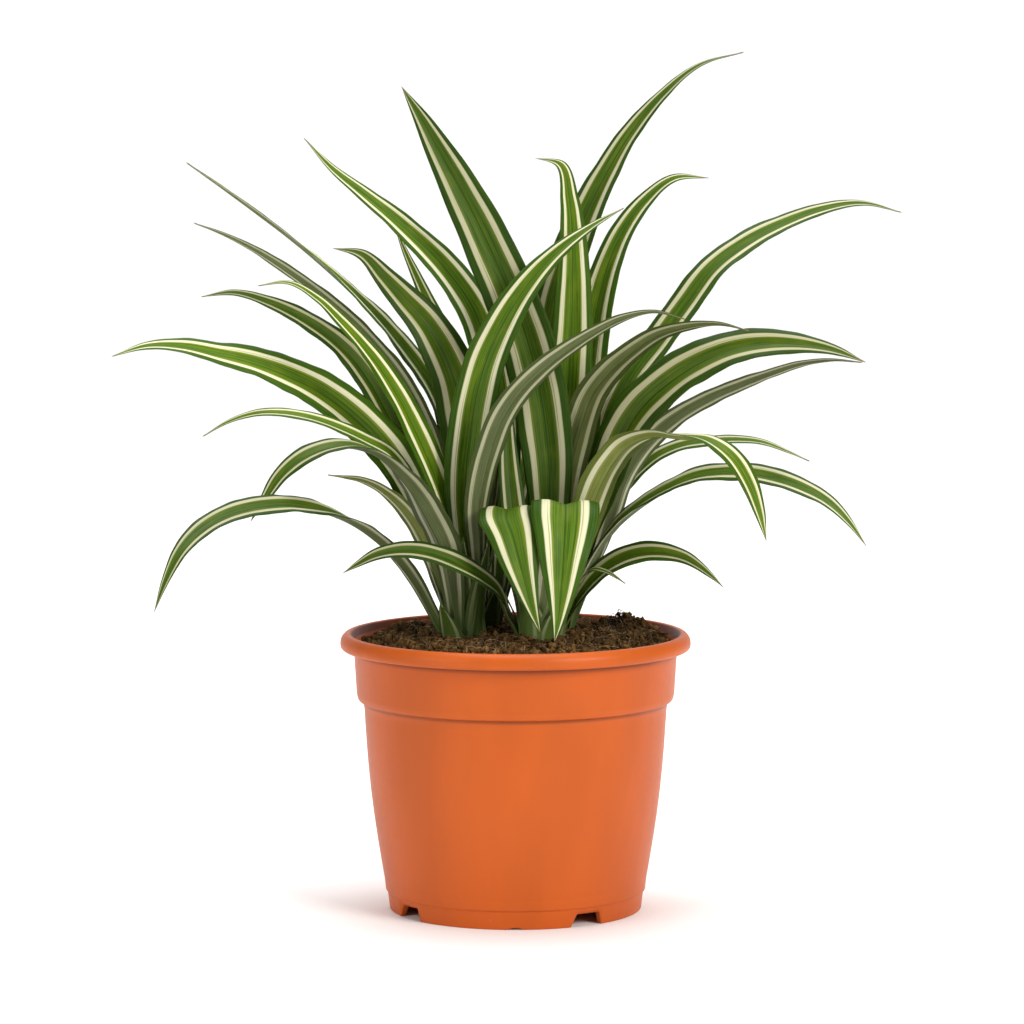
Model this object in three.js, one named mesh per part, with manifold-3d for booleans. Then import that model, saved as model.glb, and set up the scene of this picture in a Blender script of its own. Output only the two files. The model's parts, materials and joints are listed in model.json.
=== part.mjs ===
// A potted dracaena: variegated strap leaves rising from four rooted crowns, set in
// potting soil in a thin-walled plastic nursery pot with a rolled rim, a stacking collar
// and a notched foot. Millimetres, +Z up, origin at the centre of the pot's foot, and the
// side that faces the viewer is -Y. Angles on plan run anticlockwise from +X.

import * as THREE from "three";
import Module from "manifold-3d";
import { mergeVertices } from "three/addons/utils/BufferGeometryUtils.js";

const wasm = await Module();
wasm.setup();

// ---- Driving dimensions ---------------------------------------------------------------

const GAP = 0.3; // clearance between pieces that rest on or in each other

const POT = {
  height: 103,
  rimRadius: 65,
  rimDepth: 5.8, // height of the rolled rim's outer band
  rimInnerRadius: 61.2,
  collarTopRadius: 60.2,
  collarBottomRadius: 58.8,
  collarBottom: 78.4, // height of the step under the collar
  stepWidth: 2.4,
  wallTopRadius: 56.2,
  wallBottomRadius: 48.4,
  wall: 1.5,
  footHeight: 7, // height of the fine step above the foot
  footStep: 0.7,
  footRadius: 46.9,
  floorUnderside: 5.2,
  floor: 1.6,
  segments: 80,
};

const NOTCH = { count: 4, firstAngle: -56, width: 12.5, topWidth: 11.2, height: 4.9, reach: 9 };

const SOIL = {
  edgeDrop: 3.6, // how far the soil lies below the pot's top at the wall
  moundRise: 2.4, // how much higher it is in the middle
  lumpRise: 0.6, // height of the low lumps all over it
  clodRise: 3.4, // height of the one large clod, at the right of the back
  clodShare: 0.72, // how far out the clod lies, as a share of the soil's radius
  clodAngle: 0.62, // plan angle of the clod, in radians
  rings: 9,
  segments: 48,
};

const CROWN = { radius: 9, top: 100, depth: 34, rootRadius: 4, pocketGap: 1.5, segments: 20 };

const LEAF = {
  stations: 14, // cross-sections from the base to just short of the tip
  baseShare: 0.33, // width at the base as a share of the blade's full width
  widestAt: 0.4, // where along the leaf the blade is widest
  taper: 2.1, // how long the blade stays broad beyond there
  thickness: 1.1, // at the midrib; the margins are sharp
  tipThickness: 0.45,
  channelBase: 0.5, // depth of the V channel as a share of the half width
  channelTip: 0.22,
  baseHeight: CROWN.top + 0.9,
  outerRing: 6.6, // radius on the crown of the outer leaf bases
  innerRing: 3,
};

// ---- Crowns: where the four rooted plants stand in the pot ------------------------------

const CROWNS = {
  left_front: [-19, -7],
  left_back: [-14, 15],
  right_front: [9, -11],
  right_back: [14, 12],
};

// ---- Leaves -----------------------------------------------------------------------------
// Each leaf starts on its crown at the plan angle `at`, on the outer or inner ring, and its
// midrib runs through the points of `rib`. `wide` is the blade's full width. `roll` turns the
// blade about its midrib, in degrees by the right-hand rule, at the base, middle and tip: at
// 0 the width is level and the upper face looks up. `heading` is the plan angle that the
// blade leans towards, and is worked out from the base and the tip where it isn't given.
// `taper` is higher for a blade that stays broad near its tip, and `widest` is where along
// its length the blade is broadest, where that isn't the usual place. `fold` is below 1 for a
// blade that is flatter than the others.

const LEAVES = [
  // Left front crown
  { name: "left_front_leaf_1", crown: "left_front", at: 200, wide: 14, roll: [30, -25, -25],
    rib: [[-40.5, -14, 128.5], [-59, -28, 147], [-82.5, -48, 155], [-105.5, -68, 152],
      [-118.5, -84, 141], [-126.5, -94, 121.5]] },
  { name: "left_front_leaf_2", crown: "left_front", at: 250, wide: 18.5, roll: [60, 5, -40],
    rib: [[-25, -17, 132], [-31, -21, 147], [-40, -25, 162], [-53, -30, 173.5],
      [-68, -35, 174.5], [-82, -39, 167.5], [-95.5, -44, 148.5]] },
  { name: "left_front_leaf_3", crown: "left_front", at: 180, inner: true, wide: 11,
    roll: [50, 40, 30],
    rib: [[-27, -8.5, 119], [-33, -10, 136.5], [-42, -9.5, 150.5], [-54, -10, 159.5],
      [-69, -11, 162.5]] },
  { name: "left_front_leaf_4", crown: "left_front", at: 140, wide: 11, roll: [-40, -28, -25],
    rib: [[-30, -2.5, 127], [-36, -3.5, 150.5], [-44, -8, 168], [-58, -13, 177], [-75, -17, 184],
      [-92, -19, 186], [-104, -21, 183], [-114, -22, 177.5]] },
  { name: "left_front_leaf_5", crown: "left_front", at: 100, wide: 20.5, roll: [-50, -52, -30],
    rib: [[-26.5, 6.5, 130], [-37, 6.5, 152], [-50, 4, 173], [-70, 0, 191], [-90, -8, 201.5],
      [-110, -16, 207.5], [-130, -22, 211], [-146.5, -27, 207]] },
  { name: "left_front_leaf_6", crown: "left_front", at: 330, inner: true, wide: 13,
    roll: [-60, -60, -30],
    rib: [[-22, -7, 130], [-25, -7.5, 149], [-34, -11, 173], [-46, -17, 197], [-60, -24, 216],
      [-78, -30, 232.5], [-88, -32, 234.5], [-93, -34, 233]] },
  { name: "left_front_leaf_7", crown: "left_front", at: 335, wide: 16.5, roll: [80, 75, 25],
    rib: [[-16.5, -10, 126], [-18.5, -10.5, 146.5], [-18, -11, 166], [-12, -12, 201],
      [-1, -12, 224.5], [12, -9, 241], [26, -5, 252], [40, 0, 260]] },
  { name: "left_front_leaf_8", crown: "left_front", at: 290, wide: 12, roll: [-50, -55, -30],
    rib: [[-13.5, -13, 126.5], [-14, -16, 149.5], [-11, -20, 167], [-3, -25, 188],
      [8, -27, 201], [21, -27, 211], [35, -25, 219], [48, -22, 223], [62, -18, 220]] },
  { name: "left_front_leaf_9", crown: "left_front", at: 60, inner: true, wide: 7.5,
    roll: [-70, -75, -75], heading: 20,
    rib: [[-15, -3, 125], [-10, 0, 145], [-7, 3, 163], [-5, 6, 180]] },

  // Left back crown
  { name: "left_back_leaf_1", crown: "left_back", at: 215, wide: 17.5, roll: [-50, -45, -30],
    rib: [[-24, 15, 127], [-34, 16, 154], [-44, 16.5, 175.5], [-53, 15, 193], [-64, 12, 207.5],
      [-80, 6, 219.5], [-98, 1, 227.5], [-108, -2, 229], [-115.5, -4, 227.5]] },
  { name: "left_back_leaf_2", crown: "left_back", at: 175, wide: 13.5, roll: [40, 30, 30],
    rib: [[-22, 21, 124], [-26, 23, 149], [-32, 23, 171], [-40, 19.5, 190], [-52, 17, 207],
      [-68, 12, 223.5], [-88, 8, 239], [-104, 4, 248.5], [-118.5, 1, 254.5]] },
  { name: "left_back_leaf_3", crown: "left_back", at: 146, wide: 15, roll: [-50, -30, 25],
    rib: [[-20.5, 24, 124], [-22, 27.5, 149], [-25, 28, 174], [-32, 26, 193], [-43, 24, 208.5],
      [-58, 20, 225.5], [-78, 16, 244], [-98, 12, 259.5], [-121.5, 8, 276.5]] },
  { name: "left_back_leaf_4", crown: "left_back", at: 230, inner: true, wide: 21,
    roll: [-60, -65, -50],
    rib: [[-15.5, 13, 124], [-16, 13, 149], [-18, 13, 172], [-23, 12.5, 197], [-32, 13, 215],
      [-42, 14, 226.5], [-53, 15, 238], [-62, 15.5, 245.5], [-68, 16, 244.5]] },
  { name: "left_back_leaf_5", crown: "left_back", at: 85, wide: 10, roll: [-60, -60, -60],
    heading: 180,
    rib: [[-12.5, 24.5, 122], [-15, 29.5, 147.5], [-17, 34, 177.5], [-24, 36, 204], [-33, 35, 224],
      [-41, 34, 241.5], [-46, 33, 254.5]] },
  { name: "left_back_leaf_6", crown: "left_back", at: 320, wide: 16, roll: [-60, -62, -40],
    rib: [[-6, 11, 123], [-5, 12, 149], [-5.5, 13, 176], [-9, 14, 203], [-16, 15, 223],
      [-26, 16, 237], [-40, 17, 251], [-55, 17, 263.5], [-68, 16, 274], [-75, 15, 280],
      [-78.5, 15, 285.5]] },
  { name: "left_back_leaf_7", crown: "left_back", at: 55, wide: 14, roll: [0, 8, 0],
    rib: [[-7, 25, 125], [-4, 33, 152], [-4, 45, 176], [-7, 60, 190], [-10, 78, 192],
      [-13, 94, 183]] },
  { name: "left_back_leaf_8", crown: "left_back", at: 20, wide: 13, roll: [0, -10, -5],
    rib: [[-3, 20, 124], [1, 28, 152], [9, 41, 174], [15, 57, 184], [20, 75, 184],
      [24, 90, 174]] },
  { name: "left_back_leaf_9", crown: "left_back", at: 108, wide: 14, roll: [0, 10, 5],
    rib: [[-15, 30.5, 122], [-21, 38.5, 148], [-29, 46, 168], [-41, 53, 178], [-50, 63, 177],
      [-58, 71, 168]] },

  // Right front crown
  { name: "right_front_leaf_1", crown: "right_front", at: 190, wide: 12, roll: [-30, -42, -35],
    rib: [[-2.5, -14.5, 111], [-7, -22, 121.5], [-20, -28, 131], [-36, -34, 137],
      [-50, -38, 136], [-62.5, -41, 129.5]] },
  { name: "right_front_leaf_2", crown: "right_front", at: 232, wide: 21, roll: [0, 0, 0],
    heading: 270, taper: 1.2, widest: 0.56, fold: 0.5,
    rib: [[4, -15.5, 120], [1.5, -16, 138], [-2, -20.5, 150.5], [-3.5, -27, 150],
      [-1, -33.5, 142.5], [2, -38, 131], [5.5, -41.5, 118.5], [9, -44, 108]] },
  { name: "right_front_leaf_3", crown: "right_front", at: 268, wide: 25, roll: [0, 0, 0],
    heading: 270, taper: 1.2, widest: 0.56, fold: 0.5,
    rib: [[12, -19.5, 120], [16.5, -20.5, 139], [18.2, -26, 153.5], [18, -33, 147.5],
      [17.3, -38, 136], [16.3, -41.5, 122.5], [15, -45, 110.5], [14, -46.5, 105]] },
  { name: "right_front_leaf_4", crown: "right_front", at: 335, wide: 16, taper: 3,
    roll: [-60, -25, 45],
    rib: [[18, -14, 120], [23.5, -14, 138], [30, -15, 158], [39, -20, 173], [50, -25, 178.5],
      [58, -32, 178.5], [67, -35, 178], [77, -40, 172.5], [85, -45, 160], [90, -50, 142]] },
  { name: "right_front_leaf_5", crown: "right_front", at: 5, wide: 13, roll: [25, 35, 30],
    rib: [[21, -10.5, 113], [29, -12.5, 124.5], [39, -14.5, 132], [50, -16, 134.5],
      [62, -17.5, 132.5], [71, -18.5, 126.5], [76, -19, 122]] },
  { name: "right_front_leaf_6", crown: "right_front", at: 40, wide: 14, roll: [20, 25, 35],
    rib: [[20, -4, 112.5], [27, -4, 128.5], [37, -5, 143.5], [51.5, -9, 155],
      [67.5, -14, 162.5], [86.5, -24, 164], [105.5, -40, 159.5], [116, -52, 153],
      [125, -62, 141.5]] },
  { name: "right_front_leaf_7", crown: "right_front", at: 90, inner: true, wide: 20.5,
    roll: [-80, -85, -75], taper: 3,
    rib: [[11, -5, 122], [12.5, -2, 144], [12, 0, 168], [9, 1, 192], [4, 2, 212],
      [-4, 3, 232.5], [-14, 4, 254.5], [-24, 5, 273.5], [-34, 5, 291.5], [-42, 5, 304.5]] },
  { name: "right_front_leaf_8", crown: "right_front", at: 312, wide: 5.5,
    roll: [10, 20, 20],
    rib: [[18.5, -19, 112], [23.5, -23, 124], [28, -24.5, 129], [34, -27, 128],
      [40, -30, 124.5]] },
  { name: "right_front_leaf_9", crown: "right_front", at: 190, inner: true, wide: 10,
    roll: [-80, -80, -70], heading: 180,
    rib: [[3, -9, 125], [-1, -6, 150], [-3, 0, 175], [-2, 5, 196]] },

  // Right back crown
  { name: "right_back_leaf_1", crown: "right_back", at: 14, wide: 16, roll: [20, 30, 35],
    rib: [[24, 17, 124], [29, 19, 148], [35.5, 20, 180], [46.5, 22, 201.5], [56, 25, 212.5],
      [73.5, 31, 236], [87, 36, 246], [102.5, 41, 253.5], [118, 45, 258.5], [134, 49, 260],
      [146.5, 52, 256.5]] },
  { name: "right_back_leaf_2", crown: "right_back", at: 275, wide: 14, roll: [-40, -50, -30],
    rib: [[16.5, 6.5, 127], [18, 5.5, 150], [22, 4, 172], [29, -2, 193], [39, -8, 204.5],
      [52, -13, 214], [67, -17, 218], [77, -19, 218], [85, -21, 216]] },
  { name: "right_back_leaf_3", crown: "right_back", at: 310, wide: 23, roll: [45, 55, 40],
    rib: [[22, 6, 122], [27.5, 4, 141.5], [34, 2, 162], [42, -1, 181], [53, -5, 193.5],
      [67, -9, 203.5], [82, -12, 209.5], [98, -15, 211], [113, -18, 209.5],
      [127.5, -21, 204.5]] },
  { name: "right_back_leaf_4", crown: "right_back", at: 336, wide: 12.5, roll: [-30, -38, -25],
    rib: [[26.5, 10.5, 119], [34.5, 9.5, 141], [42, 11, 162], [54, 8, 177.5], [70, 4, 188.5],
      [88, 0, 196.5], [106, -5, 203], [118, -9, 204.5], [127, -13, 204]] },
  { name: "right_back_leaf_5", crown: "right_back", at: 47, wide: 10, roll: [30, 30, 25],
    rib: [[24, 21, 119], [32, 23, 140], [43, 23, 157.5], [57, 20, 169], [73, 17, 172.5],
      [91, 14, 172.5], [109.5, 11, 165.5]] },
  { name: "right_back_leaf_6", crown: "right_back", at: 200, inner: true, wide: 17.5,
    roll: [-85, -85, -60], heading: 180,
    rib: [[13.5, 12, 123.5], [16, 13, 148.5], [18.5, 13.5, 178.5], [20.5, 14, 207],
      [21.3, 14, 235], [20.3, 14, 259.5], [17, 13, 274.5], [12.5, 11.5, 281], [7, 10, 278]] },
  { name: "right_back_leaf_7", crown: "right_back", at: 98, wide: 15.5, roll: [75, 70, 10],
    rib: [[12, 21.5, 125], [11, 25, 155], [11.5, 27.5, 186], [14, 28, 219], [21, 29, 243.5],
      [30, 30, 264.5], [41, 31, 284], [54, 32, 300], [68, 33, 311.5], [78, 34, 316.5],
      [85.5, 34, 317]] },
  { name: "right_back_leaf_8", crown: "right_back", at: 340, inner: true, wide: 16,
    roll: [60, 65, 45],
    rib: [[18, 15, 123], [21, 18, 148.5], [23.5, 21, 171], [27, 23.5, 200.5], [31, 25, 225.5],
      [37.5, 25, 245.5], [47, 23, 260.5], [57, 20, 269], [65, 18, 272.5], [72, 16, 270.5]] },
  { name: "right_back_leaf_9", crown: "right_back", at: 140, wide: 13, roll: [0, 5, 0],
    rib: [[5.5, 23, 118], [2, 34, 135], [4, 50, 146], [2, 68, 145], [0, 84, 133]] },
  { name: "right_back_leaf_10", crown: "right_back", at: 70, wide: 13,
    roll: [0, -10, -10],
    rib: [[21, 23, 125], [25, 31, 150], [28, 40, 172], [36, 52, 185], [45, 63, 187],
      [54, 73, 178]] },
];

// ---- Helpers ----------------------------------------------------------------------------

const degrees = THREE.MathUtils.degToRad;
const smooth = (t) => THREE.MathUtils.smoothstep(t, 0, 1);
const mix = THREE.MathUtils.lerp;

// Three values at the base, middle and tip, joined by two straight runs.
const along = ([base, middle, tip], s) =>
  s < 0.5 ? mix(base, middle, 2 * s) : mix(middle, tip, 2 * s - 1);

// A unit vector on plan at an angle in degrees.
const onPlan = (angle) => new THREE.Vector3(Math.cos(degrees(angle)), Math.sin(degrees(angle)), 0);

function solid(geometry) {
  const bare = geometry.clone();
  bare.deleteAttribute("normal");
  bare.deleteAttribute("uv");
  const merged = mergeVertices(bare, 1e-4);
  return new wasm.Manifold(new wasm.Mesh({
    numProp: 3,
    vertProperties: new Float32Array(merged.attributes.position.array),
    triVerts: new Uint32Array(merged.index.array),
  }));
}

function geometryOf(manifold) {
  const { vertProperties, triVerts } = manifold.getMesh();
  const geometry = new THREE.BufferGeometry();
  geometry.setAttribute("position", new THREE.BufferAttribute(vertProperties, 3));
  geometry.setIndex(new THREE.BufferAttribute(triVerts, 1));
  return geometry;
}

function geometryFrom(points, faces) {
  const geometry = new THREE.BufferGeometry();
  geometry.setAttribute("position", new THREE.Float32BufferAttribute(points.flat(), 3));
  geometry.setIndex(faces.flat());
  return geometry;
}

// A profile of [radius, height] pairs turned about the Z axis. LatheGeometry turns about Y.
function turned(profile, segments) {
  const points = profile.map(([radius, height]) => new THREE.Vector2(radius, height));
  const geometry = new THREE.LatheGeometry(points, segments);
  return geometry.rotateX(Math.PI / 2);
}

// ---- Pot --------------------------------------------------------------------------------

function potProfile() {
  const p = POT;
  const rimBottom = p.height - p.rimDepth;
  const floorTop = p.floorUnderside + p.floor;
  // Up the outside from the floor's underside, over the rim, and down the inside.
  return [
    [0, p.floorUnderside],
    [p.footRadius - 3, p.floorUnderside],
    [p.footRadius - 2.2, 0],
    [p.footRadius, 0],
    [p.wallBottomRadius - p.footStep, p.footHeight],
    [p.wallBottomRadius, p.footHeight + 0.5],
    [p.wallTopRadius, p.collarBottom - 1],
    [p.collarBottomRadius - 0.6, p.collarBottom],
    [p.collarBottomRadius, p.collarBottom + 1.4],
    [p.collarTopRadius, rimBottom - 0.2],
    [p.rimRadius - 1.2, rimBottom],
    [p.rimRadius, rimBottom + 1.6],
    [p.rimRadius - 0.3, p.height - 2.2],
    [p.rimRadius - 1.6, p.height - 0.5],
    [p.rimRadius - 2.8, p.height],
    [p.rimInnerRadius + 0.3, p.height - 0.3],
    [p.collarTopRadius - p.wall, p.height - 2.2],
    [p.collarBottomRadius - p.wall, p.collarBottom + 1.2],
    [p.wallTopRadius - p.wall, p.collarBottom - 2],
    [p.wallBottomRadius - p.wall, floorTop + 1.5],
    [p.wallBottomRadius - p.wall - 2, floorTop],
    [0, floorTop],
  ];
}

// A drain notch, open below and through to the inside, narrower at its top.
function notchCutter(angle) {
  const { width, topWidth, height, reach } = NOTCH;
  const outline = new THREE.Shape([
    new THREE.Vector2(-width / 2, -1),
    new THREE.Vector2(width / 2, -1),
    new THREE.Vector2(topWidth / 2, height),
    new THREE.Vector2(-topWidth / 2, height),
  ]);
  const cutter = new THREE.ExtrudeGeometry(outline, { depth: reach, bevelEnabled: false });
  cutter.rotateX(Math.PI / 2); // the outline now stands up, and the depth runs along -Y
  cutter.rotateZ(degrees(angle + 90));
  const out = onPlan(angle).multiplyScalar(POT.footRadius - reach / 2);
  return cutter.translate(out.x, out.y, 0);
}

// A drain hole through the floor behind each notch.
function drainHole(angle) {
  const hole = new THREE.CylinderGeometry(3.6, 3.6, 12, 20).rotateX(Math.PI / 2);
  const out = onPlan(angle).multiplyScalar(POT.footRadius - 11);
  return hole.translate(out.x, out.y, POT.floorUnderside);
}

function potGeometry() {
  let pot = solid(turned(potProfile(), POT.segments));
  for (let n = 0; n < NOTCH.count; n++) {
    const angle = NOTCH.firstAngle + (360 / NOTCH.count) * n;
    pot = pot.subtract(solid(notchCutter(angle))).subtract(solid(drainHole(angle)));
  }
  return geometryOf(pot);
}

// ---- Soil -------------------------------------------------------------------------------

// Inner radius of the pot's wall at a height, less the clearance.
function soilRadius(height) {
  const p = POT;
  const floorTop = p.floorUnderside + p.floor + 1.5;
  if (height > p.collarBottom + 1.2) {
    const share = (height - p.collarBottom - 1.2) / (p.height - 2.2 - p.collarBottom - 1.2);
    return mix(p.collarBottomRadius, p.collarTopRadius, share) - p.wall - GAP;
  }
  const share = (height - floorTop) / (p.collarBottom - 2 - floorTop);
  return mix(p.wallBottomRadius, p.wallTopRadius, Math.min(share, 1)) - p.wall - GAP;
}

// Height of the soil at a share of its radius and a plan angle: a low, lumpy mound that ends
// level at the wall, with one clod.
function soilHeight(share, angle) {
  const edge = POT.height - SOIL.edgeDrop;
  const mound = SOIL.moundRise * (1 - share ** 3);
  const lumps = SOIL.lumpRise * Math.sin(5 * angle + 1) * Math.sin(9 * share + 2 * angle);
  const fromClod = ((share - SOIL.clodShare) / 0.14) ** 2 + ((angle - SOIL.clodAngle) / 0.3) ** 2;
  const clod = SOIL.clodRise * Math.exp(-fromClod);
  return edge + mound + (lumps + clod) * (1 - share ** 8);
}

function soilGeometry() {
  const { rings, segments } = SOIL;
  const edge = POT.height - SOIL.edgeDrop;
  const floorTop = POT.floorUnderside + POT.floor;
  const sides = [
    [soilRadius(edge), edge],
    [soilRadius(POT.collarBottom + 1.2), POT.collarBottom + 1.2],
    [soilRadius(POT.collarBottom - 2), POT.collarBottom - 2],
    [soilRadius(floorTop + 2), floorTop + 2],
    [soilRadius(floorTop + 2) - 2.5, floorTop + GAP],
  ];
  const points = [[0, 0, soilHeight(0, 0)]];
  for (let r = 1; r < rings; r++) {
    for (let k = 0; k < segments; k++) {
      const angle = (2 * Math.PI * k) / segments;
      const radius = (sides[0][0] * r) / rings;
      const turn = angle > Math.PI ? angle - 2 * Math.PI : angle;
      points.push([radius * Math.cos(angle), radius * Math.sin(angle), soilHeight(r / rings, turn)]);
    }
  }
  for (const [radius, height] of sides) {
    for (let k = 0; k < segments; k++) {
      const angle = (2 * Math.PI * k) / segments;
      points.push([radius * Math.cos(angle), radius * Math.sin(angle), height]);
    }
  }
  points.push([0, 0, floorTop + GAP]);

  const last = points.length - 1;
  const allRings = rings - 1 + sides.length;
  const at = (ring, k) => 1 + ring * segments + (k % segments);
  const faces = [];
  for (let k = 0; k < segments; k++) {
    faces.push([0, at(0, k), at(0, k + 1)]);
    faces.push([last, at(allRings - 1, k + 1), at(allRings - 1, k)]);
    for (let r = 0; r < allRings - 1; r++) {
      faces.push([at(r, k), at(r + 1, k), at(r + 1, k + 1)]);
      faces.push([at(r, k), at(r + 1, k + 1), at(r, k + 1)]);
    }
  }

  // A pocket for each rooted crown, open at the top.
  let soil = solid(geometryFrom(points, faces));
  for (const [x, y] of Object.values(CROWNS)) {
    const profile = crownProfile(CROWN.pocketGap, POT.height + 20);
    const pocket = turned(profile, CROWN.segments).translate(x, y, 0);
    soil = soil.subtract(solid(pocket));
  }
  return geometryOf(soil);
}

// ---- Crowns -----------------------------------------------------------------------------

// A blunt root stock that widens to the flat top that the leaves stand on.
function crownProfile(clearance, top) {
  const { radius, rootRadius, depth } = CROWN;
  return [
    [0, CROWN.top - depth - clearance],
    [rootRadius + clearance, CROWN.top - depth - clearance],
    [radius * 0.75 + clearance, CROWN.top - depth * 0.5],
    [radius + clearance, CROWN.top - 6],
    [radius + clearance, top],
    [0, top],
  ];
}

// ---- Leaf -------------------------------------------------------------------------------

// The blade's width at a share s of its length, as a share of its full width.
function bladeWidth(s, widest, taper) {
  const grow = mix(LEAF.baseShare, 1, smooth(s / widest));
  const beyond = Math.max(0, (s - widest) / (1 - widest));
  return grow * (1 - beyond ** taper);
}

function leafGeometry(leaf) {
  const { crown, at, inner, rib, wide, roll, heading } = leaf;
  const { widest = LEAF.widestAt, taper = LEAF.taper, fold = 1 } = leaf;
  const [x, y] = CROWNS[crown];
  const base = onPlan(at).multiplyScalar(inner ? LEAF.innerRing : LEAF.outerRing);
  base.add(new THREE.Vector3(x, y, LEAF.baseHeight));
  const points = [base, ...rib.map((p) => new THREE.Vector3(...p))];
  const midrib = new THREE.CatmullRomCurve3(points, false, "centripetal");
  const tip = points.at(-1);
  const lean = heading === undefined
    ? new THREE.Vector3(tip.x - base.x, tip.y - base.y, 0).normalize()
    : onPlan(heading);
  const level = new THREE.Vector3(0, 0, 1).cross(lean);

  // Rings of four: one margin, the upper midrib, the other margin, the lower midrib.
  const corners = [];
  for (let n = 0; n < LEAF.stations; n++) {
    const s = n / LEAF.stations;
    const forward = midrib.getTangentAt(s);
    const across = level.clone().addScaledVector(forward, -level.dot(forward)).normalize();
    across.applyAxisAngle(forward, degrees(along(roll, s)));
    const up = forward.clone().cross(across);
    const half = (wide / 2) * bladeWidth(s, widest, taper);
    const channel = half * fold * mix(LEAF.channelBase, LEAF.channelTip, smooth(s / 0.6));
    const thick = mix(LEAF.thickness, LEAF.tipThickness, s);
    const centre = midrib.getPointAt(s);
    const place = (side, lift) =>
      centre.clone().addScaledVector(across, side).addScaledVector(up, lift).toArray();
    corners.push(
      place(half, channel / 2),
      place(0, -channel / 2 + thick / 2),
      place(-half, channel / 2),
      place(0, -channel / 2 - thick / 2),
    );
  }
  corners.push(tip.toArray());

  const last = corners.length - 1;
  // Every side is split from the lower ring's midrib to the upper ring's margin, so the
  // upper and lower walls keep the same creases and never cross where the blade twists.
  const faces = [[0, 3, 1], [1, 3, 2]];
  for (let n = 0; n < LEAF.stations - 1; n++) {
    for (let k = 0; k < 4; k++) {
      const [a, b] = [4 * n + k, 4 * n + ((k + 1) % 4)];
      const fromMargin = k % 2 === 0;
      if (fromMargin) faces.push([a, b, a + 4], [b, b + 4, a + 4]);
      else faces.push([a, b, b + 4], [a, b + 4, a + 4]);
    }
  }
  const end = 4 * (LEAF.stations - 1);
  for (let k = 0; k < 4; k++) faces.push([end + k, end + ((k + 1) % 4), last]);
  return geometryFrom(corners, faces);
}

// ---- Assembly ---------------------------------------------------------------------------

const finish = (color, roughness) =>
  new THREE.MeshStandardMaterial({ color, roughness, metalness: 0 });
const PLASTIC = finish(0xd8662f, 0.45);
const EARTH = finish(0x3a261a, 0.95);
const ROOT = finish(0x9a9a5c, 0.8);
const BLADE = finish(0x4d7a2e, 0.5);

const plant = new THREE.Group();

function add(name, geometry, material) {
  geometry.computeVertexNormals();
  const mesh = new THREE.Mesh(geometry, material);
  mesh.name = name;
  plant.add(mesh);
}

add("pot", potGeometry(), PLASTIC);
add("soil", soilGeometry(), EARTH);
for (const [name, [x, y]] of Object.entries(CROWNS)) {
  const crown = turned(crownProfile(0, CROWN.top), CROWN.segments).translate(x, y, 0);
  add(`${name}_crown`, crown, ROOT);
}
for (const leaf of LEAVES) add(leaf.name, leafGeometry(leaf), BLADE);

export default plant;
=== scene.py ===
"""A potted dracaena, built as a Blender add-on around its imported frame.

Every blade is lofted again, finely, through the cross-sections of its own frame node. The pot,
the soil, its crumbs and fibres and the crown sheaths are surfaces worked out with numpy.
Lengths are metres unless a comment says millimetres, +Z is up, and the front is -Y.
"""

import json
import math

import bpy
import numpy as np
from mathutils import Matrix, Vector

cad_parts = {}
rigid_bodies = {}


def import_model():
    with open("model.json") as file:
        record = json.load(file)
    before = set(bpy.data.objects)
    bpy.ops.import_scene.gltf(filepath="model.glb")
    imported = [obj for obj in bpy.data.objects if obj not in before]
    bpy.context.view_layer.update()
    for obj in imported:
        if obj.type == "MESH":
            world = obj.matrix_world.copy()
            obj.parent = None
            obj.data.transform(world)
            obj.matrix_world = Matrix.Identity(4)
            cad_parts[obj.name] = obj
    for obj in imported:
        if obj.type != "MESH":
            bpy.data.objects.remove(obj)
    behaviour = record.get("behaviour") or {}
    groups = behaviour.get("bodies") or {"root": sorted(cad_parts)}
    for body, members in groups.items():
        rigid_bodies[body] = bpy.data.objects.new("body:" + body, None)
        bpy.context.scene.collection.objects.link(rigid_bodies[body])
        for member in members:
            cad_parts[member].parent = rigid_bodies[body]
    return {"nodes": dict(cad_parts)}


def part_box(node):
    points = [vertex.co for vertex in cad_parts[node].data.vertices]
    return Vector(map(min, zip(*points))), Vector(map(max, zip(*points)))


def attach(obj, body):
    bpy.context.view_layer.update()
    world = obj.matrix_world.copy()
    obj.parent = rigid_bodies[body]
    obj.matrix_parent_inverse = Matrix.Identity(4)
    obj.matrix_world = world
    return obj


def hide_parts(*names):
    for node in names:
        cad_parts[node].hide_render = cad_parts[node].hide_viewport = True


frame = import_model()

bl_info = {
    "name": "Potted Dracaena",
    "version": (1, 0, 0),
    "blender": (4, 5, 0),
    "location": "3D View > Sidebar > Dracaena",
    "description": "Makes a striped strap-leaf house plant in a plastic nursery pot",
    "category": "Add Mesh",
}

MM = 0.001
BODY = "root"
CROWNS = sorted(name for name in frame["nodes"] if name.endswith("_crown"))
LEAVES = sorted(name for name in frame["nodes"] if "_leaf_" in name)
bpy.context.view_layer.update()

POT_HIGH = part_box("pot")[1]
POT_HEIGHT = POT_HIGH.z
RIM_RADIUS = POT_HIGH.x
SOIL_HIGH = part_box("soil")[1]


# ---- Meshes -----------------------------------------------------------------------------------

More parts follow.
